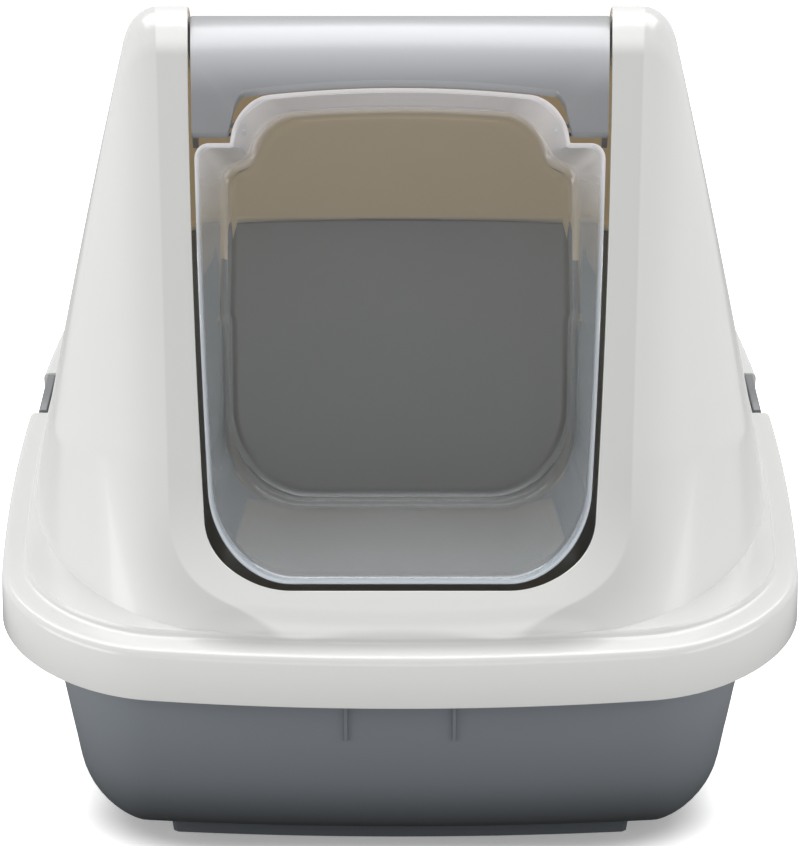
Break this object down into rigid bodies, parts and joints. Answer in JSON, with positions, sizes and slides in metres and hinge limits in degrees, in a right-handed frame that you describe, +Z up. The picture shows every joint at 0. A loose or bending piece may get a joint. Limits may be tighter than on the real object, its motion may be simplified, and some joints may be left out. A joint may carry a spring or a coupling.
{
  "type": "litter box",
  "caption": "Hooded cat litter box with a sloping front entrance, a see-through swing flap, a tilting top cover and side clips.",
  "frame": {"origin": "middle of the box's footprint on the floor", "axes": "+Z up, -Y is the front with the entrance, +X is the right-hand side seen from the front"},
  "size_m": [0.39, 0.56, 0.3824],
  "materials": {
    "pan_grey": "satin cool grey plastic",
    "hood_white": "glossy white plastic",
    "cover_grey": "glossy light grey plastic",
    "tray_grey": "satin light grey plastic",
    "filter_black": "soft black felted pad",
    "flap_clear": "clear plastic with a light smoky tint",
    "clip_grey": "satin grey plastic"
  },
  "bodies": {
    "pan": {"pan": "pan_grey"},
    "hood": {"hood": "hood_white"},
    "cover": {"top_cover": "cover_grey", "filter_tray": "tray_grey", "carbon_filter": "filter_black"},
    "flap": {"flap": "flap_clear"},
    "clip_left": {"clip_left": "clip_grey"},
    "clip_right": {"clip_right": "clip_grey"}
  },
  "joints": [
    {"name": "hood_lift", "type": "slide", "parent": "pan", "child": "hood", "axis": [0, 0, 1], "range_m": [0, 0.15]},
    {"name": "cover_hinge", "type": "hinge", "parent": "hood", "child": "cover", "pos_m": [0, 0.05065, 0.35165], "axis": [-1, 0, 0], "range_deg": [0, 95]},
    {"name": "flap_hinge", "type": "hinge", "parent": "cover", "child": "flap", "pos_m": [0, -0.06016, 0.32549], "axis": [-1, 0, 0], "range_deg": [0, 75]},
    {"name": "clip_left_pivot", "type": "hinge", "parent": "pan", "child": "clip_left", "pos_m": [-0.1856, 0.00813, 0.16363], "axis": [0, -0.9748, -0.2233], "range_deg": [0, 110]},
    {"name": "clip_right_pivot", "type": "hinge", "parent": "pan", "child": "clip_right", "pos_m": [0.1856, 0.00813, 0.16363], "axis": [0, 0.9748, 0.2233], "range_deg": [0, 110]}
  ]
}
